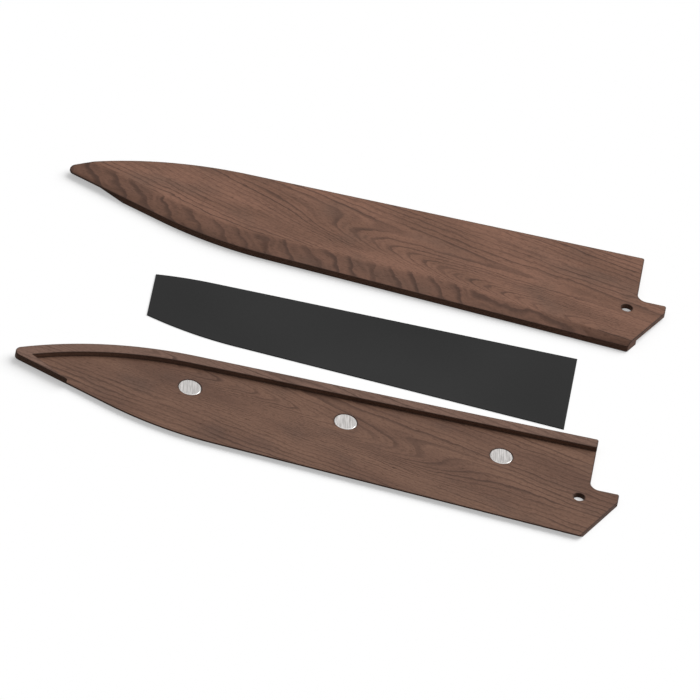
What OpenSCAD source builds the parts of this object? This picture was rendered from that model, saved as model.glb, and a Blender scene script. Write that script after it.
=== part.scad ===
// Guard for the blade of a kitchen knife, in millimetres: two wooden shells, three disc magnets and a liner sheet.
// The shells and the liner lie beside each other on the table, before they are put together round the blade.
// The origin is on the table, on the axis of the pin hole in the back shell.
// +X runs to the handle end, +Y to the side of the blade's spine, and +Z is up.

/* [Layout] */
// How the pieces lie: apart on the table, or closed into the finished guard
layout = "apart"; // ["apart", "closed"]
// Clear space on the table between the back shell and the liner
liner_space = 6; // [3:0.5:20]
// Clear space on the table between the liner and the front shell
front_space = 9.5; // [5:0.5:20]
// Shift of the liner along X
liner_along = 0; // [-20:0.5:20]
// Shift of the front shell along X
front_along = 4; // [-20:0.5:20]

/* [Outline] */
// From the pin hole to the foremost point of the tip
tip_reach = 200.4; // [150:0.1:260]
// From the pin hole to the end of the tab
tab_reach = 13.5; // [11:0.1:20]
// From the pin hole to the end wall above the tab
notch_reach = 3; // [2:0.1:5]
// From the pin hole up to the spine side
spine_rise = 30.8; // [26:0.1:40]
// From the pin hole up to the tab's upper side
shelf_rise = 5.7; // [4.5:0.1:8]
// From the pin hole down to the corner of edge side and tab
heel_drop = 20.6; // [16:0.1:26]
// Width of the tab's end before the slant begins
tab_end_w = 4.2; // [2:0.1:6]
// How far the slanted end runs back along X
slant_run = 10.6; // [4:0.1:12]
// Slope of the straight edge side, in degrees
edge_slope = 3.9; // [2:0.1:6]
// Slope of the edge side near the tip, in degrees
tip_edge_slope = 22.8; // [18:0.1:28]
// Slope of the spine side near the tip, in degrees
tip_spine_slope = 27.5; // [22:0.1:34]
// Height of the tip's apex above the pin hole
tip_rise = 13.5; // [10:0.1:18]
// Radius that blunts the tip
tip_r = 2.5; // [1:0.1:4]
// Radius of the belly, where the edge side turns up to the tip
belly_r = 120; // [60:1:160]
// Radius of the spine side's bend down to the tip
spine_bend_r = 128; // [60:1:160]
// Fillet in the corner between end wall and tab
notch_r = 3.5; // [1:0.1:5]
// Radius of the small corners at the handle end
corner_r = 0.8; // [0.3:0.1:1.5]

/* [Shells] */
// Thickness of the back shell under the blade seat
back_skin = 2; // [1.8:0.1:4]
// Thickness of the front shell over the blade
front_skin = 2; // [1.6:0.1:4]
// Depth of the blade seat
seat_depth = 1.8; // [1.2:0.1:3]
// Width of the rim along the spine side and round the tip
rim_w = 4.5; // [3:0.1:6]
// How deep the rim is let into the plate, so that the plate's upper face is the seat floor alone
rim_root = 0.2; // [0.1:0.1:0.3]
// Width of the front shell's closing wall along the edge side
wall_w = 5.6; // [3:0.1:7]
// Gap between the closing wall's end and the rim
wall_gap = 0.2; // [0.1:0.05:0.5]
// From the tip's apex back to the seat's pointed corner
seat_corner_back = 9.3; // [7:0.1:14]
// Slope of the seat's short side below that corner, in degrees
seat_corner_slope = 34.6; // [30:0.1:50]
// Diameter of the pin hole
pin_hole_d = 4; // [2:0.1:5]

/* [Bevel] */
// Width of the bevel along most of the edge side
bevel_w = 9.5; // [4:0.1:12]
// Width of the bevel at the handle end
bevel_end_w = 2.2; // [1:0.1:4]
// From the pin hole to where the bevel begins to narrow
bevel_narrow_at = 66; // [30:1:100]
// Upright edge that the bevel leaves on each shell
bevel_land = 0.6; // [0.4:0.1:1.2]

/* [Magnets] */
// Diameter of a magnet
magnet_d = 8; // [5:0.1:10]
// Thickness of a magnet
magnet_t = 1; // [0.6:0.1:1.4]
// Bevelled edge of a magnet
magnet_edge = 0.2; // [0.1:0.05:0.3]
// Gap between a magnet and its socket, on the radius
magnet_gap = 0.05; // [0.02:0.01:0.15]
// From the pin hole to the magnet nearest to the heel
magnet_first = 29; // [22:0.5:36]
// Distance from one magnet to the next
magnet_pitch = 55; // [40:0.5:60]
// Height of the middle magnet above the pin hole
magnet_rise = 14.3; // [10:0.1:18]
// How much the row of magnets rises to the tip, in degrees
magnet_row_slope = 1.1; // [0:0.1:2]

/* [Liner] */
// Thickness of the liner sheet
liner_t = 0.4; // [0.3:0.1:1]
// Gap between the liner and what stands round it
liner_gap = 0.4; // [0.2:0.1:1]
// From the pin hole to the liner's end on the handle side
liner_first = 9.5; // [7:0.5:20]
// Length of the liner along X
liner_l = 149.5; // [100:0.5:170]

/* [Hidden] */

apart = layout == "apart";
// Overshoot of a cutting body past the face that it opens
over = 1;
// Steps along a rounded corner: a turn of this many degrees at a radius of 1, and never fewer than the least
arc_turn = 13;
arc_least = 4;
round_fn = 96;

// Point where two lines meet, each given by a point and an angle in degrees
function meet(p, a, q, b) =
    let (d = (q - p) * [sin(b), -cos(b)] / (cos(a) * sin(b) - sin(a) * cos(b)))
    p + d * [cos(a), sin(a)];

function bearing(v) = atan2(v.y, v.x);

function turn_between(a, b) =
    let (d = b - a)
    d > 180 ? d - 360 : d < -180 ? d + 360 : d;

// Arc of radius r that replaces the corner at v, on the way from p to q
function rounded(p, v, q, r) =
    let (
        in_a = bearing(v - p),
        turn = turn_between(in_a, bearing(q - v)),
        side = turn > 0 ? 1 : -1,
        reach = r * tan(abs(turn) / 2),
        start = v - reach * [cos(in_a), sin(in_a)],
        centre = start + side * r * [-sin(in_a), cos(in_a)],
        steps = max(arc_least, ceil(abs(turn) * sqrt(r) / arc_turn))
    )
    [for (i = [0 : steps])
        let (a = in_a - side * 90 + turn * i / steps)
        centre + r * [cos(a), sin(a)]];

function rounded_outline(corners, radii) =
    let (n = len(corners))
    [for (i = [0 : n - 1])
        each rounded(corners[(i + n - 1) % n], corners[i], corners[(i + 1) % n], radii[i])];

// Corners of the outline. Its spine side and its edge side can be moved inwards.
apex_cut = tip_r / sin((tip_spine_slope + tip_edge_slope) / 2) - tip_r;
apex = [-tip_reach - apex_cut * cos((tip_spine_slope - tip_edge_slope) / 2), tip_rise];
slant_top = [tab_reach, shelf_rise - tab_end_w];
heel = [tab_reach - slant_run, -heel_drop];
slant_angle = bearing(slant_top - heel);

function on_spine(moved) = [0, spine_rise - moved];
function on_tip_spine(moved) = apex + moved * [sin(tip_spine_slope), -cos(tip_spine_slope)];
function on_edge(moved) = heel + moved * [sin(edge_slope), cos(edge_slope)];
function on_tip_edge(moved) = apex + moved * [sin(tip_edge_slope), cos(tip_edge_slope)];

function spine_bend(moved) = meet(on_spine(moved), 0, on_tip_spine(moved), tip_spine_slope);
function belly(moved) = meet(on_edge(moved), -edge_slope, on_tip_edge(moved), -tip_edge_slope);

// The spine side's bend ends where the tip's rounding begins, so that is the room for its radius
tip_round_reach = tip_r / tan((tip_spine_slope + tip_edge_slope) / 2);
bend_room = (norm(spine_bend(0) - apex) - tip_round_reach) / tan(tip_spine_slope / 2);
bend_r = min(spine_bend_r, bend_room);

outline_points = rounded_outline(
    [heel, slant_top, [tab_reach, shelf_rise], [notch_reach, shelf_rise], [notch_reach, spine_rise],
        spine_bend(0), apex, belly(0)],
    [corner_r, corner_r, corner_r, notch_r, corner_r, bend_r, tip_r, belly_r]);

// Blade seat: open to the handle end and to the edge side, closed by the rim elsewhere.
// Each region reaches far past the outline where the seat is open.
far = tip_reach + tab_reach;
seat_corner = meet(on_tip_spine(rim_w), tip_spine_slope, apex + [seat_corner_back, 0], 90);
seat_side = [cos(seat_corner_slope), -sin(seat_corner_slope)];

// Region on one side of the rim's inner side: below it towards the edge side, or above it
module beside_rim(moved, below) {
    bend = spine_bend(rim_w + moved);
    start = [far, bend.y];
    tip_far = bend - far * [cos(tip_spine_slope), sin(tip_spine_slope)];
    beyond = below ? -2 * far : 2 * far;
    polygon(concat(
        rounded(start, bend, tip_far, bend_r - rim_w - moved),
        [tip_far, [tip_far.x, beyond], [far, beyond], start]));
}

// Region on one side of the seat's short side: towards the handle end, or towards the tip
module beside_short_side(moved, inside) {
    across = (inside ? 1 : -1) * [-seat_side.y, seat_side.x];
    start = seat_corner + moved * [-seat_side.y, seat_side.x];
    polygon([start - far * seat_side, start + far * seat_side,
        start + far * (seat_side + across), start + far * (across - seat_side)]);
}

module seat_area(moved) {
    intersection() {
        beside_rim(moved, true);
        beside_short_side(moved, true);
    }
}

// Inner side of the closing wall, as a region that reaches past the spine side and the handle end
function within_wall_points(moved) =
    let (
        bend = belly(wall_w + moved),
        tip_far = bend - far * [cos(tip_edge_slope), -sin(tip_edge_slope)],
        heel_far = bend + far * [cos(edge_slope), -sin(edge_slope)]
    )
    concat(
        [tip_far],
        rounded(tip_far, bend, heel_far, belly_r - wall_w - moved),
        [heel_far, [heel_far.x, far], [tip_far.x, far]]);

// Bevel cutter: a straight run at the tip, a revolved one round the belly, and two along the straight edge side.
// The last of them narrows to the handle end. The straight runs lap over what follows or precedes them.
bevel_over = 0.25;
bevel_lap = 0.2;
belly_fn = 360;
narrow_steps = 10;
// Corners of the bevel's section
section_corners = 3;
belly_turn = tip_edge_slope - edge_slope;
belly_reach = belly_r * tan(belly_turn / 2);
edge_way = [cos(edge_slope), -sin(edge_slope)];
tip_edge_way = [cos(tip_edge_slope), -sin(tip_edge_slope)];
edge_start = belly(0) + belly_reach * edge_way;
belly_centre = edge_start + belly_r * [sin(edge_slope), cos(edge_slope)];
tip_edge_end = belly(0) - belly_reach * tip_edge_way;
tip_run = norm(tip_edge_end - apex) + seat_corner_back + bevel_lap;
narrow_run = (heel.x + bevel_narrow_at) / cos(edge_slope);
edge_run = norm(heel - edge_start) - narrow_run;

// Section across the edge side: x is inwards from the edge, y is height above the inner face
function bevel_section(w, top) =
    let (drop = (top - bevel_land) * bevel_over)
    [[w * (1 + bevel_over), top + drop],
        [-w * bevel_over, bevel_land - drop],
        [-w * bevel_over - over, top + drop]];

module bevel_run(start, slope, run, top) {
    translate([start.x, start.y, 0])
        rotate([0, 0, -slope])
            rotate([90, 0, 90])
                linear_extrude(run) polygon(bevel_section(bevel_w, top));
}

module bevel_round_belly(top) {
    translate([belly_centre.x, belly_centre.y, 0])
        rotate([0, 0, -90 - tip_edge_slope])
            rotate_extrude(angle = belly_turn, $fn = belly_fn)
                polygon([for (p = bevel_section(bevel_w, top)) [belly_r - p.x, p.y]]);
}

module bevel_narrowing(top) {
    points = [for (i = [0 : narrow_steps])
        let (
            along = (narrow_run + over) * i / narrow_steps,
            w = bevel_w + (bevel_end_w - bevel_w) * along / narrow_run
        )
        for (p = bevel_section(w, top)) [along, p.x, p.y]];
    last = section_corners * narrow_steps;
    sides = [for (i = [0 : narrow_steps - 1], j = [0 : section_corners - 1])
        let (a = section_corners * i + j, b = section_corners * i + (j + 1) % section_corners)
        each [[a, b, b + section_corners], [a, b + section_corners, a + section_corners]]];
    faces = concat([[2, 1, 0], [last, last + 1, last + 2]], sides);
    start = edge_start + edge_run * edge_way;
    translate([start.x, start.y, 0]) rotate([0, 0, -edge_slope]) polyhedron(points = points, faces = faces);
}

module bevel_cutter(top) {
    bevel_run(apex - seat_corner_back * tip_edge_way, tip_edge_slope, tip_run, top);
    bevel_round_belly(top);
    bevel_run(edge_start - bevel_lap * edge_way, edge_slope, edge_run + 2 * bevel_lap, top);
    bevel_narrowing(top);
}

module outline_body(height) {
    linear_extrude(height) polygon(outline_points);
}

module pin_hole(height) {
    translate([0, 0, -over]) cylinder(h = height + 2 * over, d = pin_hole_d, $fn = round_fn);
}

// Magnets: place of each, counted from 0 at the heel to the last at the tip
last_magnet = 2;
middle_magnet = last_magnet / 2;

function magnet_at(i) = [
    -magnet_first - i * magnet_pitch,
    magnet_rise + (i - middle_magnet) * magnet_pitch * tan(magnet_row_slope)];

module magnet(i) {
    r = magnet_d / 2;
    at = magnet_at(i);
    color("silver")
        translate([at.x, at.y, back_skin - magnet_t])
            rotate_extrude($fn = round_fn)
                polygon([[0, 0], [r - magnet_edge, 0], [r, magnet_edge],
                    [r, magnet_t - magnet_edge], [r - magnet_edge, magnet_t], [0, magnet_t]]);
}

module magnet_sockets() {
    for (i = [0 : last_magnet])
        translate([magnet_at(i).x, magnet_at(i).y, back_skin - magnet_t])
            cylinder(h = magnet_t + over, r = magnet_d / 2 + magnet_gap, $fn = round_fn);
}

// Back shell: the plate under the blade, whose upper face is the seat floor
module back_shell() {
    color("#7a5b4d")
        difference() {
            outline_body(back_skin);
            translate([0, 0, back_skin]) mirror([0, 0, 1]) bevel_cutter(back_skin);
            translate([0, 0, back_skin - rim_root])
                linear_extrude(rim_root + over) {
                    beside_rim(0, false);
                    beside_short_side(0, false);
                }
            magnet_sockets();
            pin_hole(back_skin);
        }
}

// Rim of the back shell, along the spine side and round the tip. It is one piece of wood with the plate.
module back_rim() {
    color("#7a5b4d")
        translate([0, 0, back_skin - rim_root])
            linear_extrude(rim_root + seat_depth)
                difference() {
                    polygon(outline_points);
                    seat_area(0);
                }
}

// Front shell in its closed place, with the seat floor at height 0 and the inner face at the height of the rim
module closed_front_shell() {
    difference() {
        translate([0, 0, seat_depth]) outline_body(front_skin);
        translate([0, 0, seat_depth]) bevel_cutter(front_skin);
        pin_hole(seat_depth + front_skin);
    }
}

// Closing wall of the front shell, below its inner face. It is one piece of wood with the plate.
module closed_front_wall() {
    linear_extrude(seat_depth)
        difference() {
            polygon(outline_points);
            polygon(within_wall_points(0));
            beside_rim(wall_gap, false);
            beside_short_side(wall_gap, false);
        }
}

// Places on the table, from the space between the pieces
liner_low = meet(on_edge(wall_w + liner_gap), -edge_slope, [-liner_first, 0], 90).y;
liner_top = spine_rise - rim_w - liner_gap;
liner_away = spine_rise + liner_space - liner_low;
front_away = liner_away + liner_top + front_space + heel_drop;

// Off the back shell, the front shell leans on the closing wall and on one corner of its spine side.
lean_tip = meet(on_tip_spine(rim_w + wall_gap), tip_spine_slope, on_tip_edge(wall_w), -tip_edge_slope);
lean_heel = meet(heel, slant_angle, on_edge(wall_w), -edge_slope);
lean_corner = [notch_reach - corner_r, spine_rise];
lean_axis = (lean_heel - lean_tip) / norm(lean_heel - lean_tip);
lean_reach = (lean_corner - lean_tip) * [-lean_axis.y, lean_axis.x];
lean_angle = atan(seat_depth / lean_reach);

module lay_front() {
    if (apart)
        translate([front_along, front_away, 0])
            translate([lean_tip.x, lean_tip.y, 0])
                rotate(a = -lean_angle, v = [lean_axis.x, lean_axis.y, 0])
                    translate([-lean_tip.x, -lean_tip.y, 0])
                        children();
    else
        translate([0, 0, back_skin]) children();
}

module front_shell() {
    color("#7a5b4d") lay_front() closed_front_shell();
}

module front_wall() {
    color("#7a5b4d") lay_front() closed_front_wall();
}

module closed_liner() {
    linear_extrude(liner_t)
        intersection() {
            seat_area(liner_gap);
            polygon(within_wall_points(liner_gap));
            translate([-liner_first - liner_l, -heel_drop])
                square([liner_l, heel_drop + spine_rise]);
        }
}

module liner() {
    color("#353535")
        translate(apart ? [liner_along, liner_away, 0] : [0, 0, back_skin]) closed_liner();
}

back_shell();
back_rim();
magnet(last_magnet);  // magnet_tip
magnet(middle_magnet);  // magnet_middle
magnet(0);  // magnet_heel
liner();
front_shell();
front_wall();
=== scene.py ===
import math

import bmesh
import bpy
from mathutils import Matrix, Vector


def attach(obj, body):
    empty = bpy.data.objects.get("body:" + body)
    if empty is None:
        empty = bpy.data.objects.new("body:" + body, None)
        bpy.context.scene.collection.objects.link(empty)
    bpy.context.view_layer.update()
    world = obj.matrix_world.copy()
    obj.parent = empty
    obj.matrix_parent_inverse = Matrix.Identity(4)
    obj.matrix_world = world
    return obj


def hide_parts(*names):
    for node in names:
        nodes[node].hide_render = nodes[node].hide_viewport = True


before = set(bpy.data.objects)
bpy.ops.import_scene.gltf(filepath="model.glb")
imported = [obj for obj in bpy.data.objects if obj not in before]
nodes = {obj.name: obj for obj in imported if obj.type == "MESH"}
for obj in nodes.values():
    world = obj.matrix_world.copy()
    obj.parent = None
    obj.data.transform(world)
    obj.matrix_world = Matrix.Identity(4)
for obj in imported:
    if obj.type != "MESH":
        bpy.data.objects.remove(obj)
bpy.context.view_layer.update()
mm = 0.001
print("frame loaded:", len(nodes), "nodes")

# The photograph's view: nearly without perspective, from above and rolled a little
photoView = {
    "distance": 6000.0,      # mm from the pin hole
    "elevation": 38.66,      # degrees above the table
    "roll": 11.77,           # degrees
    "right": 78.593,         # mm, the pin hole's place right of the middle
    "up": -52.103,           # mm, and above it
    "focalPixels": 17419.5,
    "framePixels": 700.0,
    "sensor": 36.0,          # mm
    "clip": (1.0, 40.0),     # m, the nearest and the farthest that is drawn
}


def makeCamera(view):
    elevation, roll = math.radians(view["elevation"]), math.radians(view["roll"])
    flat = Vector((1, 0, 0))
    rise = Vector((0, math.sin(elevation), math.cos(elevation)))
    back = Vector((0, -math.cos(elevation), math.sin(elevation)))
    right = math.cos(roll) * flat + math.sin(roll) * rise
    up = math.cos(roll) * rise - math.sin(roll) * flat
    data = bpy.data.cameras.new("photoCamera")
    data.sensor_width = view["sensor"]
    data.lens = view["focalPixels"] / view["framePixels"] * view["sensor"]
    data.clip_start, data.clip_end = view["clip"]
    camera = bpy.data.objects.new("photoCamera", data)
    bpy.context.scene.collection.objects.link(camera)
    place = (back * view["distance"] - right * view["right"] - up * view["up"]) * mm
    turned = Matrix((right, up, back)).transposed().to_4x4()
    camera.matrix_world = Matrix.Translation(place) @ turned
    bpy.context.scene.camera = camera


makeCamera(photoView)
print("camera placed")


# An sRGB colour such as "#825e4d", as the linear values that a shader takes
def hexColour(text):
    parts = [int(text[i:i + 2], 16) / 255 for i in (1, 3, 5)]
    linear = [c / 12.92 if c <= 0.04045 else ((c + 0.055) / 1.055) ** 2.4 for c in parts]
    return (*linear, 1.0)


# Adds a node: settings by name, inputs by name or number, each a value or another node's output
def addNode(tree, kind, inputs=None, **settings):
    node = tree.nodes.new(kind)
    for key, value in settings.items():
        setattr(node, key, value)
    for key, value in (inputs or {}).items():
        if isinstance(value, bpy.types.NodeSocket):
            tree.links.new(value, node.inputs[key])
        else:
            node.inputs[key].default_value = value
    return node


def calcNode(tree, operation, *values):
    return addNode(tree, "ShaderNodeMath", dict(enumerate(values)), operation=operation).outputs[0]


def rangeNode(tree, value, low, high, curve="LINEAR"):
    return addNode(tree, "ShaderNodeMapRange", {"Value": value, "From Min": low, "From Max": high},
                   interpolation_type=curve).outputs[0]


def mixColours(tree, share, first, second):
    return addNode(tree, "ShaderNodeMix", {0: share, 6: first, 7: second},
                   data_type="RGBA").outputs[2]


def mixShaders(tree, share, first, second):
    return addNode(tree, "ShaderNodeMixShader", {0: share, 1: first.outputs[0],
                   2: second.outputs[0]})


def newMaterial(name):
    material = bpy.data.materials.new(name)
    material.use_nodes = True
    material.node_tree.nodes.clear()
    return material, material.node_tree


# Ends a material with its shader, and with a relief of reliefDeep mm, of which reliefShare shows
def finishSurface(tree, look, height, inputs):
    relief = addNode(tree, "ShaderNodeBump", {"Height": height, "Strength": look["reliefShare"],
                     "Distance": look["reliefDeep"] * mm}).outputs[0]
    shader = addNode(tree, "ShaderNodeBsdfPrincipled", {**inputs, "Normal": relief})
    addNode(tree, "ShaderNodeOutputMaterial", {"Surface": shader.outputs[0]})


# Where the camera, a mirror or glass looks: 1 there and 0 for the light that falls on the object
def seenDirectly(tree):
    path = addNode(tree, "ShaderNodeLightPath").outputs
    shine = calcNode(tree, "MAXIMUM", path["Is Glossy Ray"], path["Is Transmission Ray"])
    return calcNode(tree, "MAXIMUM", path["Is Camera Ray"], shine)


studio = {
    "ambient": 0.30,             # share of the plain light level that comes from the sky above
    "key": 0.70,                 # share that comes from the lamp
    "keyFrom": (0.75, 0.55, 1),  # from behind and from the handle's side: the near walls stay dark
    "keyAngle": 60.0,            # degrees, a large soft lamp
    "background": "#ffffff",
    "floorUnlit": "#3c3c3c",     # how the floor looks to the light that bounces off it
    "floorGlow": 0.42,           # share of its white that no shadow takes away
    "floorWide": 5.0,            # m
}


def makeStudio(look):
    world = bpy.data.worlds.new("paleStudio")
    bpy.context.scene.world = world
    world.use_nodes = True
    tree = world.node_tree
    tree.nodes.clear()
    white = hexColour(look["background"])
    # The sky is brightest overhead and dark at the horizon: its square law halves what it gives
    # flat ground
    place = addNode(tree, "ShaderNodeTexCoord")
    height = addNode(tree, "ShaderNodeSeparateXYZ", {0: place.outputs["Generated"]}).outputs["Z"]
    squared = calcNode(tree, "MULTIPLY", height, height)
    level = calcNode(tree, "MULTIPLY", squared, 2 * look["ambient"])
    around = addNode(tree, "ShaderNodeBackground", {"Color": white, "Strength": level})
    shown = addNode(tree, "ShaderNodeBackground", {"Color": white, "Strength": 1.0})
    chosen = mixShaders(tree, seenDirectly(tree), around, shown)
    addNode(tree, "ShaderNodeOutputWorld", {"Surface": chosen.outputs[0]})

    source = Vector(look["keyFrom"]).normalized()
    lamp = bpy.data.lights.new("keyLamp", "SUN")
    lamp.energy = look["key"] * math.pi / source.z
    lamp.angle = math.radians(look["keyAngle"])
    key = bpy.data.objects.new("keyLamp", lamp)
    key.rotation_mode = "QUATERNION"
    key.rotation_quaternion = source.to_track_quat("Z", "Y")
    bpy.context.scene.collection.objects.link(key)

    half = look["floorWide"] / 2
    mesh = bpy.data.meshes.new("floor")
    mesh.from_pydata([(-half, -half, 0), (half, -half, 0), (half, half, 0), (-half, half, 0)], [],
                     [(0, 1, 2, 3)])
    floor = bpy.data.objects.new("floor", mesh)
    bpy.context.scene.collection.objects.link(floor)
    material, tree = newMaterial("whitePaperFloor")
    dim = addNode(tree, "ShaderNodeBsdfDiffuse", {"Color": hexColour(look["floorUnlit"])})
    pale = addNode(tree, "ShaderNodeBsdfDiffuse", {"Color": white})
    glow = addNode(tree, "ShaderNodeEmission", {"Color": white, "Strength": 1.0})
    paper = mixShaders(tree, look["floorGlow"], pale, glow)
    chosen = mixShaders(tree, seenDirectly(tree), dim, paper)
    addNode(tree, "ShaderNodeOutputMaterial", {"Surface": chosen.outputs[0]})
    mesh.materials.append(material)


makeStudio(studio)
print("studio lit")

# Stained and oiled walnut, milled and fine sanded. It looks satin, with dark wavering latewood
# lines in a paler ground and short dark pores along the grain. Painted shade darkens the eased
# edges, a thin line beside every edge and crease, and the bevel. Each group of four numbers is a
# noise: its size in mm along and across the grain, and the values from which its mark shows and is
# full.
stainedWalnut = {
    "ground": "#715141", "pale": "#825e4d", "palePatches": (60, 14, 0.35, 0.65),
    "shade": "#5c483d", "clouds": (26, 18, 0.50, 0.74), "cloudMix": 0.5,    # greyish stain
    "latewood": "#3e2a21", "latewoodMix": 0.84,
    "lateRise": (0.50, 0.86), "lateFall": (0.90, 1.0),     # shares of one ring's width
    "weakRing": 0.35, "weakPatch": 0.4, "ringPatches": (34, 9, 0.30, 0.62),
    "linesPerRing": 2.6, "linePatches": (22, 5, 0.38, 0.66), "lineMix": 0.30,
    # The bevel's painted shade: how far its colour goes toward the latewood's
    "bevelShadeMix": 0.33, "weakBand": 0.6,
    "sandedRim": "#785e52", "rimMix": 0.75, "rimFade": 0.4,                 # mm
    # Real pores are 0.2 mm wide, which the render can't show
    "pore": "#38261e", "pores": (3.2, 0.38, 0.56, 0.74), "poreMix": 0.42,
    # The cut ends of fibres, drawn twice as coarse as they are
    "flecks": (1.2, 0.6, 0.45, 0.65), "fleckMix": 0.22,
    # A painted shade line beside every edge and crease: how wide in mm, and from which leaning it
    # shows
    "edgeShadeWide": 0.9, "edgeShadeLean": (0.002, 0.04), "edgeShadeMix": 0.5,
    "roughness": 0.6, "poreRough": 0.15, "ior": 1.5, "specular": 0.15,
    "reliefDeep": 0.05, "reliefShare": 0.35, "lateRelief": 0.3,
}
# Painted shade on the eased edges: darker colours there, and the rim top's paleness left off
paintedEdgeShade = {"pale": "#4c362b", "ground": "#422f25", "shade": "#382a22", "rimMix": 0.0}
deeperStain = {"pale": "#765848", "ground": "#684c3e", "shade": "#524038"}    # of the inner face
# Each board's rings run straight at one end and part round a long pointed figure at the other,
# which opens to side +1, the handle, or -1, the tip. Lengths in mm, angles in degrees. The outer
# face is given by a point on it and its direction, and rimAbove is a height over the table, from
# which the rim's top is sanded paler.
frontBoard = {"figure": (-130.0, 122.0, 3.8), "turn": -14.0, "side": 1, "bend": 0.15,
              "spread": 0.40, "figureWide": 10.0, "ringGap": 2.4, "noiseShift": 111.0,
              "face": (4.0209, 106.6801, 3.2299), "faceDirection": (0.00595, 0.03956, 0.99920),
              "rimAbove": 9.0}
backBoard = {"figure": (-26.0, -7.0, 2.0), "turn": -15.0, "side": -1, "bend": 0.02,
             "spread": 0.33, "figureWide": 8.5, "ringGap": 2.3, "noiseShift": 407.0,
             "face": (0.0, 0.0, 0.0), "faceDirection": (0.0, 0.0, -1.0),
             "rimAbove": 3.2}
figureBlunt = 200.0    # mm2; how softly the figure's point begins
# The sway of the whole trunk, down to a small waver of each ring: mm along, across and aside
grainWaves = ((75, 30, 7.0), (17, 7, 3.0), (6, 2.4, 1.4), (2.0, 1.0, 0.8))
ringsFlat = 4.7        # how much faster the rings change with depth than across the board
bevelCut = {"rise": (0.02, 0.25), "fall": (1.36, 1.46)}    # mm below the outer face
# The bevel goes down through the rings, so they cross it as wide slanting bands: how fast they
# change along it, until that many mm, and across it, and how far they waver. They are drawn where
# the bevel's share is over the last number.
bevelBands = {"along": 0.27, "until": 85.0, "across": 0.25, "waver": 3.4, "waverWide": 13.0,
              "over": 0.01}


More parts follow.
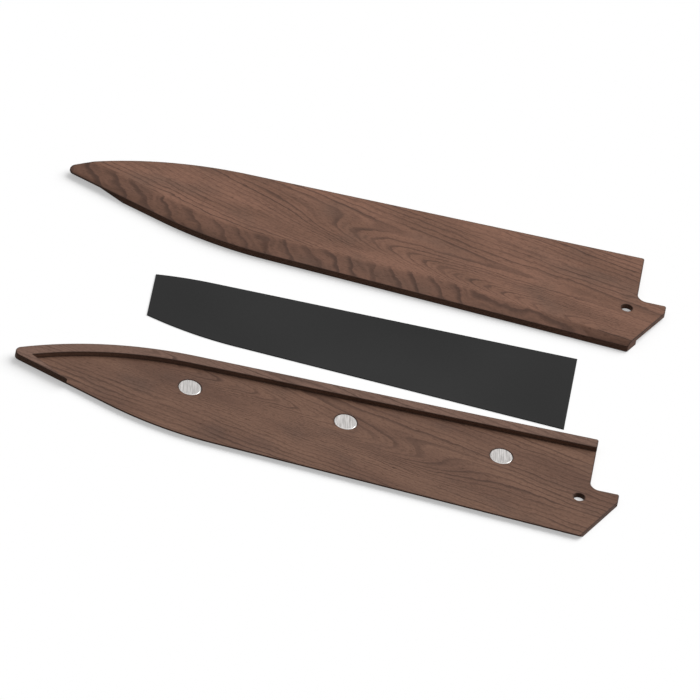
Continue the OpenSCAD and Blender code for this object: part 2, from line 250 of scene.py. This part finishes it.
def makeWood(name, look, board):
    material, tree = newMaterial(name)

    def calc(operation, *values):
        return calcNode(tree, operation, *values)

    def vectorCalc(operation, *values):
        return addNode(tree, "ShaderNodeVectorMath", dict(enumerate(values)),
                       operation=operation).outputs

    def noise(vector, along, across, output="Fac"):
        stretched = vectorCalc("MULTIPLY", vector, (1 / along, 1 / across, 1 / across))[0]
        return addNode(tree, "ShaderNodeTexNoise", {"Vector": stretched, "Scale": 1.0,
                       "Detail": 2.0}).outputs[output]

    def ramp(value, low, high):
        return rangeNode(tree, value, low, high, "SMOOTHSTEP")

    def patches(vector, along, across, low, high):
        return ramp(noise(vector, along, across), low, high)

    # A value from 0 to 1 becomes one from least to 1
    def atLeast(least, value):
        return calc("MULTIPLY_ADD", value, 1 - least, least)

    turn = math.radians(-board["turn"])
    shift = -(Matrix.Rotation(turn, 3, "Z") @ Vector(board["figure"]))
    place = addNode(tree, "ShaderNodeTexCoord").outputs["Object"]
    millimetres = vectorCalc("MULTIPLY", place, (1 / mm, 1 / mm, 1 / mm))[0]
    grain = addNode(tree, "ShaderNodeMapping", {"Vector": millimetres, "Location": shift,
                    "Rotation": (0, 0, turn)}).outputs[0]
    shifted = vectorCalc("ADD", grain, (board["noiseShift"], 0, 0))[0]
    swayed = grain
    for along, across, amount in grainWaves:
        wave = vectorCalc("SUBTRACT", noise(shifted, along, across, "Color"), (0.5, 0.5, 0.5))[0]
        swayed = vectorCalc("MULTIPLY_ADD", wave, (amount,) * 3, swayed)[0]

    # The rings over the flat face, in mm across the board
    axes = addNode(tree, "ShaderNodeSeparateXYZ", {0: swayed}).outputs
    ahead = calc("MULTIPLY", axes["X"], board["side"])
    reach = calc("SQRT", calc("MULTIPLY_ADD", ahead, ahead, figureBlunt))
    inside = calc("MULTIPLY", calc("ADD", reach, ahead), 0.5)         # mm into the figure
    before = calc("MULTIPLY", calc("SUBTRACT", reach, ahead), 0.5)    # mm short of it
    aside = calc("DIVIDE", axes["Y"], board["figureWide"])
    swell = calc("EXPONENT", calc("MULTIPLY", calc("MULTIPLY", aside, aside), -1.0))
    swell = calc("MULTIPLY", swell, calc("MULTIPLY", inside, board["spread"]))
    level = calc("MULTIPLY_ADD", before, -board["bend"], calc("ADD", axes["Y"], swell))
    fromFace = vectorCalc("SUBTRACT", millimetres, board["face"])[0]
    above = vectorCalc("DOT_PRODUCT", fromFace, board["faceDirection"])["Value"]
    below = calc("MULTIPLY", above, -1.0)
    level = calc("MULTIPLY_ADD", below, ringsFlat, level)

    # The same over the bevel
    bevel = calc("MULTIPLY", ramp(below, *bevelCut["rise"]),
                 calc("SUBTRACT", 1.0, ramp(below, *bevelCut["fall"])))
    bands = calc("MULTIPLY", calc("MINIMUM", axes["X"], bevelBands["until"]), bevelBands["along"])
    bands = calc("MULTIPLY_ADD", axes["Y"], bevelBands["across"], bands)
    bands = calc("MULTIPLY_ADD", noise(shifted, bevelBands["waverWide"], bevelBands["waverWide"]),
                 bevelBands["waver"], bands)
    level = addNode(tree, "ShaderNodeMix", {0: calc("GREATER_THAN", bevel, bevelBands["over"]),
                    2: level, 3: bands}).outputs[0]

    rings = calc("DIVIDE", level, board["ringGap"])
    within = calc("FRACT", rings)
    strength = addNode(tree, "ShaderNodeTexWhiteNoise", {"W": calc("FLOOR", rings)},
                       noise_dimensions="1D").outputs["Value"]
    latewood = calc("MULTIPLY", ramp(within, *look["lateRise"]),
                    calc("SUBTRACT", 1.0, ramp(within, *look["lateFall"])))
    ringShare = calc("MULTIPLY", atLeast(look["weakRing"], strength),
                     atLeast(look["weakPatch"], patches(shifted, *look["ringPatches"])))
    waves = calc("SINE", calc("MULTIPLY", rings, look["linesPerRing"] * 2 * math.pi))
    lines = calc("MULTIPLY", calc("MULTIPLY_ADD", waves, 0.5, 0.5),
                 patches(shifted, *look["linePatches"]))
    pores = patches(swayed, *look["pores"])
    clouds = patches(shifted, *look["clouds"])
    paleness = patches(shifted, *look["palePatches"])

    # The cut ends of the fibres drink more stain on the bevel, the latewood most of all
    banded = calc("MULTIPLY", bevel, atLeast(look["weakBand"], strength))
    latewood = calc("MULTIPLY", latewood, calc("MAXIMUM", ringShare, banded))

    rim = ramp(addNode(tree, "ShaderNodeSeparateXYZ", {0: millimetres}).outputs["Z"],
               board["rimAbove"], board["rimAbove"] + look["rimFade"])
    flecks = patches(grain, *look["flecks"])
    # Painted shade: a darker line beside every edge and crease, where the rounded normal leans from
    # the true one
    rounded = addNode(tree, "ShaderNodeBevel", {"Radius": look["edgeShadeWide"] * mm},
                      samples=6).outputs[0]
    flat = addNode(tree, "ShaderNodeNewGeometry").outputs["True Normal"]
    leaning = calc("SUBTRACT", 1.0, vectorCalc("DOT_PRODUCT", rounded, flat)["Value"])
    edges = ramp(leaning, *look["edgeShadeLean"])

    colour = mixColours(tree, paleness, hexColour(look["ground"]), hexColour(look["pale"]))
    # Of these marks, the bevel's tint and the line beside edges and creases are painted shade
    for share, amount, stain in (
            (clouds, "cloudMix", "shade"), (rim, "rimMix", "sandedRim"),
            (bevel, "bevelShadeMix", "latewood"), (lines, "lineMix", "latewood"),
            (latewood, "latewoodMix", "latewood"), (pores, "poreMix", "pore"),
            (flecks, "fleckMix", "pore"), (edges, "edgeShadeMix", "pore")):
        mixed = calc("MULTIPLY", share, look[amount])
        colour = mixColours(tree, mixed, colour, hexColour(look[stain]))

    height = calc("MULTIPLY_ADD", pores, -1.0, calc("MULTIPLY", latewood, look["lateRelief"]))
    rough = calc("MULTIPLY_ADD", pores, look["poreRough"], look["roughness"])
    finishSurface(tree, look, height, {"Base Color": colour, "Roughness": rough,
                  "IOR": look["ior"], "Specular IOR Level": look["specular"]})
    return material


# The first is walnut darkened by painted shade, for the eased edges
edgeShadeWalnut = {**stainedWalnut, **paintedEdgeShade}
innerWalnut = {**stainedWalnut, **deeperStain}
walnutFront = makeWood("stainedWalnutFront", stainedWalnut, frontBoard)
walnutBack = makeWood("stainedWalnutBack", innerWalnut, backBoard)
walnutFrontEdgeShade = makeWood("walnutFrontPaintedEdgeShade", edgeShadeWalnut, frontBoard)
walnutBackEdgeShade = makeWood("walnutBackPaintedEdgeShade", edgeShadeWalnut, backBoard)

# Nickel-plated steel, brushed in one direction: a bright grey with fine streaks. The small bevel
# and the side round each disc are painted brighter than the face: a painted highlight.
brushedNickel = {
    # rim is the colour of the painted highlight on the bevel round each disc
    "bright": "#c3c0be", "dull": "#888583", "rim": "#d6d3d1", "roughness": 0.34,
    "streakWide": 0.34, "streakLong": 6.0,    # mm; real ones are finer than the render can show
    "streakRange": (0.30, 0.70),
    "brushTurn": 97.4,                        # degrees from +X
    "faceUp": 0.95,                           # a face points up by at least this share
    "reliefDeep": 0.01, "reliefShare": 0.3,
}


def makeNickel(name, look):
    material, tree = newMaterial(name)
    place = addNode(tree, "ShaderNodeTexCoord").outputs
    turned = addNode(tree, "ShaderNodeMapping", {"Vector": place["Object"],
                     "Rotation": (0, 0, math.radians(-look["brushTurn"])),
                     "Scale": (1 / mm, 1 / mm, 1 / mm)}).outputs[0]
    finer = (1 / look["streakLong"], 1 / look["streakWide"], 1 / look["streakWide"])
    streaked = addNode(tree, "ShaderNodeVectorMath", {0: turned, 1: finer},
                       operation="MULTIPLY").outputs[0]
    streaks = addNode(tree, "ShaderNodeTexNoise", {"Vector": streaked, "Scale": 1.0,
                      "Detail": 3.0}).outputs[0]
    share = rangeNode(tree, streaks, *look["streakRange"])
    colour = mixColours(tree, share, hexColour(look["dull"]), hexColour(look["bright"]))
    # Painted highlight: faces that don't point up, such as the bevel round each disc, get the
    # brighter colour
    facing = addNode(tree, "ShaderNodeSeparateXYZ", {0: place["Normal"]}).outputs["Z"]
    edge = calcNode(tree, "LESS_THAN", facing, look["faceUp"])
    colour = mixColours(tree, edge, colour, hexColour(look["rim"]))
    finishSurface(tree, look, share, {"Base Color": colour, "Metallic": 1.0,
                  "Roughness": look["roughness"]})
    return material


nickel = makeNickel("brushedNickelPlate", brushedNickel)

# Thin rubber sheet, calendered and cut: matt black, with a fine even tooth. The real tooth is
# finer than the render can show.
mattRubber = {
    "dark": "#242424", "light": "#2f2f2f", "roughness": 0.8, "ior": 1.5, "specular": 0.12,
    "tooth": 0.5, "toothDetail": 2.0, "toothShare": 0.35,    # mm
    "unevenness": 60.0, "unevenDetail": 1.0,                 # mm
    "toneRange": (0.4, 0.95),
    "reliefDeep": 0.01, "reliefShare": 0.3,
}


def makeRubber(name, look):
    material, tree = newMaterial(name)
    place = addNode(tree, "ShaderNodeTexCoord").outputs["Object"]
    fine = addNode(tree, "ShaderNodeTexNoise", {"Vector": place, "Scale": 1 / (look["tooth"] * mm),
                   "Detail": look["toothDetail"]}).outputs[0]
    broad = addNode(tree, "ShaderNodeTexNoise", {"Vector": place,
                    "Scale": 1 / (look["unevenness"] * mm),
                    "Detail": look["unevenDetail"]}).outputs[0]
    tone = calcNode(tree, "MULTIPLY_ADD", fine, look["toothShare"], broad)
    tone = rangeNode(tree, tone, *look["toneRange"])
    colour = mixColours(tree, tone, hexColour(look["dark"]), hexColour(look["light"]))
    finishSurface(tree, look, fine, {"Base Color": colour, "Roughness": look["roughness"],
                  "IOR": look["ior"], "Specular IOR Level": look["specular"]})
    return material


rubber = makeRubber("mattRubberSheet", mattRubber)
print("materials made")

# How the solids' meshes are cleaned; lengths in mm
cleaning = {
    "digits": 4, "seamWeld": 0.002,    # of each solid, before the joining
    "weld": 0.04, "thin": 0.01,        # of the whole, after it
    "level": 0.999,                    # a level face points up or down by more than this share
    "cut": 0.0005,
    "flat": 0.05,                      # degrees; faces that lean less to each other are one
}
# How edges are eased, as sandpaper leaves them; lengths in mm
easing = {
    "shells": 0.2, "liner": 0.06,
    "sharpFrom": 25.0,                 # degrees
    "sliver": 0.005,                   # beside a face narrower than this, an edge is left alone
    "segments": 2, "profile": 0.5,     # a round one
}
# Beside a face broader than this many mm2, edges are shaded crisp from a smaller angle, in
# degrees, than elsewhere
crisp = {"broad": 15.0, "beside": 3.0, "elsewhere": 28.0}


# The solids' own faces, joined into one and measured in millimetres. A leaning board is set
# upright for the joining, so that its solids meet on an exactly level plane.
def joinedSolids(names):
    broadest = max(nodes[names[0]].data.polygons, key=lambda face: face.area)
    facing = broadest.normal if broadest.normal.z > 0 else -broadest.normal
    upright = facing.rotation_difference(Vector((0, 0, 1))).to_matrix().to_4x4()
    parts = []
    for name in names:
        mesh = nodes[name].data.copy()
        mesh.transform(upright @ Matrix.Scale(1 / mm, 4))
        shape = bmesh.new()
        shape.from_mesh(mesh)
        for vert in shape.verts:
            vert.co = [round(c, cleaning["digits"]) for c in vert.co]
        bmesh.ops.remove_doubles(shape, verts=shape.verts, dist=cleaning["seamWeld"])
        shape.to_mesh(mesh)
        shape.free()
        part = bpy.data.objects.new("part", mesh)
        bpy.context.scene.collection.objects.link(part)
        parts.append(part)
    for part in parts[1:]:
        union = parts[0].modifiers.new("union", "BOOLEAN")
        union.operation, union.solver, union.object = "UNION", "EXACT", part
    bpy.context.view_layer.update()
    joined = parts[0].evaluated_get(bpy.context.evaluated_depsgraph_get())
    whole = bpy.data.meshes.new_from_object(joined)
    for part in parts:
        bpy.data.objects.remove(part)
    return whole, upright


# Flat faces made whole again. A seam cut through each hole keeps every face free of holes.
def mendFaces(shape, holes):
    bmesh.ops.remove_doubles(shape, verts=shape.verts, dist=cleaning["weld"])
    bmesh.ops.dissolve_degenerate(shape, dist=cleaning["thin"], edges=shape.edges)
    for hole in holes:
        level = [face for face in shape.faces if abs(face.normal.z) > cleaning["level"]]
        around = {part for face in level for part in (*face.verts, *face.edges)}
        cut = bmesh.ops.bisect_plane(shape, geom=[*level, *around], dist=cleaning["cut"],
                                     plane_co=hole, plane_no=(1, 0, 0))
        for edge in (e for e in cut["geom_cut"] if isinstance(e, bmesh.types.BMEdge)):
            edge.seam = True
    bmesh.ops.dissolve_limit(shape, angle_limit=math.radians(cleaning["flat"]),
                             verts=shape.verts, edges=shape.edges, delimit={"SEAM"})


# Rounds every sharp edge off by that many mm, and gives the new faces their own finish
def easeEdges(shape, ease, finish):
    sharp = [e for e in shape.edges if len(e.link_faces) == 2
             and e.calc_face_angle(0) > math.radians(easing["sharpFrom"])
             and min(face.calc_area() for face in e.link_faces) > easing["sliver"] * e.calc_length()]
    eased = bmesh.ops.bevel(shape, geom=sharp, offset=ease, segments=easing["segments"],
                            profile=easing["profile"], affect="EDGES", clamp_overlap=False)
    for face in eased["faces"]:
        face.material_index = finish
    bmesh.ops.recalc_face_normals(shape, faces=shape.faces)


def shadeEdges(shape):
    for face in shape.faces:
        face.smooth = True
    for edge in shape.edges:
        broad = max(face.calc_area() for face in edge.link_faces) > crisp["broad"]
        smoothUnder = math.radians(crisp["beside" if broad else "elsewhere"])
        edge.smooth = edge.calc_face_angle(0) < smoothUnder


def easedPiece(name, solids, finishes, holes, ease):
    mesh, upright = joinedSolids(solids)
    mesh.materials.clear()
    for finish in finishes:
        mesh.materials.append(finish)
    shape = bmesh.new()
    shape.from_mesh(mesh)
    mendFaces(shape, [upright @ Vector(hole) for hole in holes])
    easeEdges(shape, ease, len(finishes) - 1)
    shadeEdges(shape)
    shape.to_mesh(mesh)
    shape.free()
    mesh.transform(Matrix.Scale(mm, 4) @ upright.inverted())
    mesh.name = name
    piece = bpy.data.objects.new(name, mesh)
    bpy.context.scene.collection.objects.link(piece)
    print(name, "has", len(mesh.polygons), "faces")
    return piece


# The holes are the pin hole of each shell, and the sockets of the three magnets
shells = {
    "frontHalf": {"solids": ["front_shell", "front_wall"], "body": "front",
                  "holes": [frontBoard["face"]], "finishes": [walnutFront, walnutFrontEdgeShade]},
    "backHalf": {"solids": ["back_shell", "back_rim"], "body": "back",
                 "holes": [(x, 0, 0) for x in (0, -29, -84, -139)],
                 "finishes": [walnutBack, walnutBackEdgeShade]},
}

for name, shell in shells.items():
    piece = easedPiece(name, shell["solids"], shell["finishes"], shell["holes"], easing["shells"])
    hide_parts(*shell["solids"])
    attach(piece, shell["body"])
print("shells made")

sheet = easedPiece("linerSheet", ["liner"], [rubber], [], easing["liner"])
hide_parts("liner")
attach(sheet, "liner_body")
print("liner made")

for name in ("magnet_tip", "magnet_middle", "magnet_heel"):
    magnet = nodes[name]
    magnet.data.materials.clear()
    magnet.data.materials.append(nickel)
print("magnets finished")

bpy.context.scene.view_settings.view_transform = "Standard"
